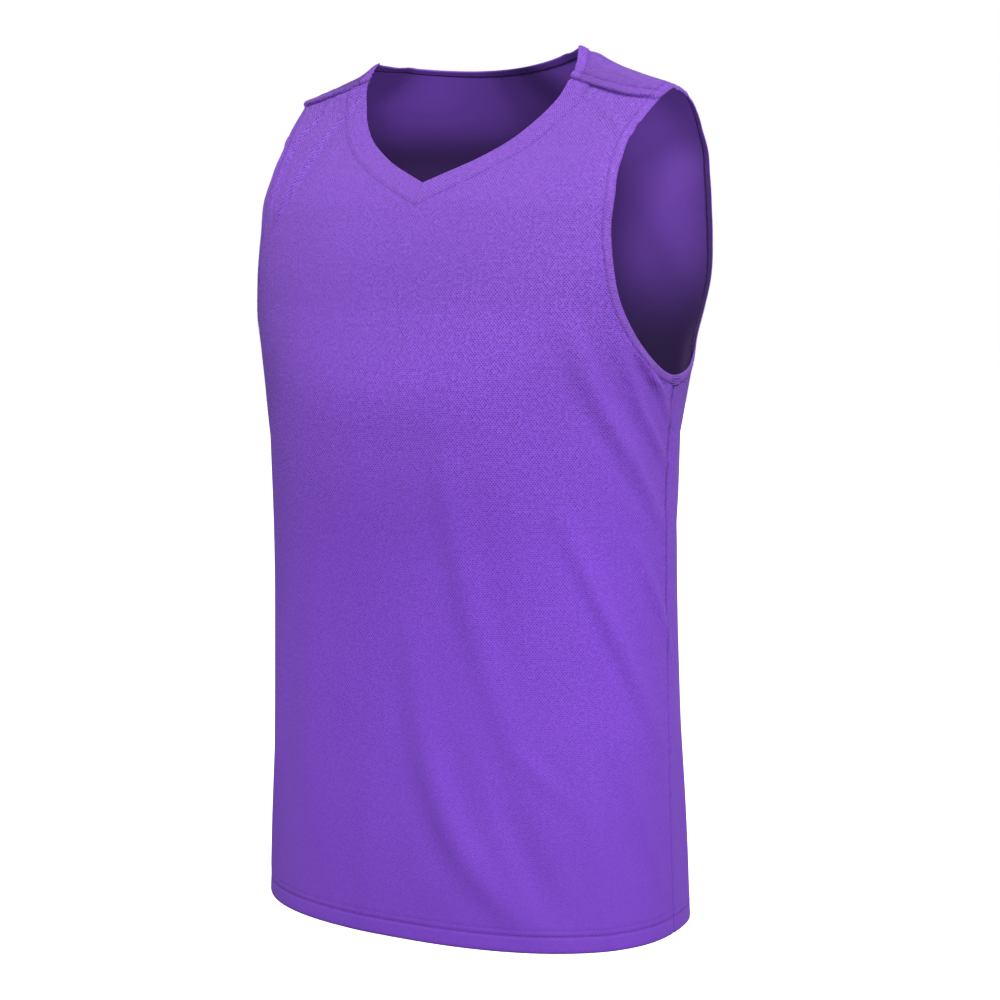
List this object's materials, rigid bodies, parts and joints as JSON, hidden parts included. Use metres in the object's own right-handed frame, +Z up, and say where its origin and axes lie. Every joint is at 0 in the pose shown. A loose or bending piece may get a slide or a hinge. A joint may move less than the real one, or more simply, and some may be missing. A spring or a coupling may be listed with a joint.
{
  "type": "basketball jersey",
  "caption": "Sleeveless V-neck basketball jersey in eyelet mesh knit, hollow and filled out as it is worn, with a neck band, bound armholes and a turned hem.",
  "frame": {"origin": "midway between the two places where the wearer's shoulders carry the straps, 17 mm below the neck points", "axes": "+Z up towards the neck; the front of the garment faces -Y; +X is the wearer's left"},
  "size_m": [0.385, 0.2621, 0.7296],
  "materials": {
    "front_mesh": "semi-matt eyelet mesh knit",
    "back_mesh": "semi-matt eyelet mesh knit",
    "neck_rib": "semi-matt doubled mesh knit",
    "neck_binding": "semi-matt folded binding",
    "arm_binding_left": "semi-matt folded binding",
    "arm_binding_right": "semi-matt folded binding"
  },
  "bodies": {
    "root": {"front_panel": "front_mesh", "back_panel": "back_mesh", "neck_band": "neck_rib", "back_neck_binding": "neck_binding", "armhole_binding_left": "arm_binding_left", "armhole_binding_right": "arm_binding_right"}
  },
  "joints": []
}
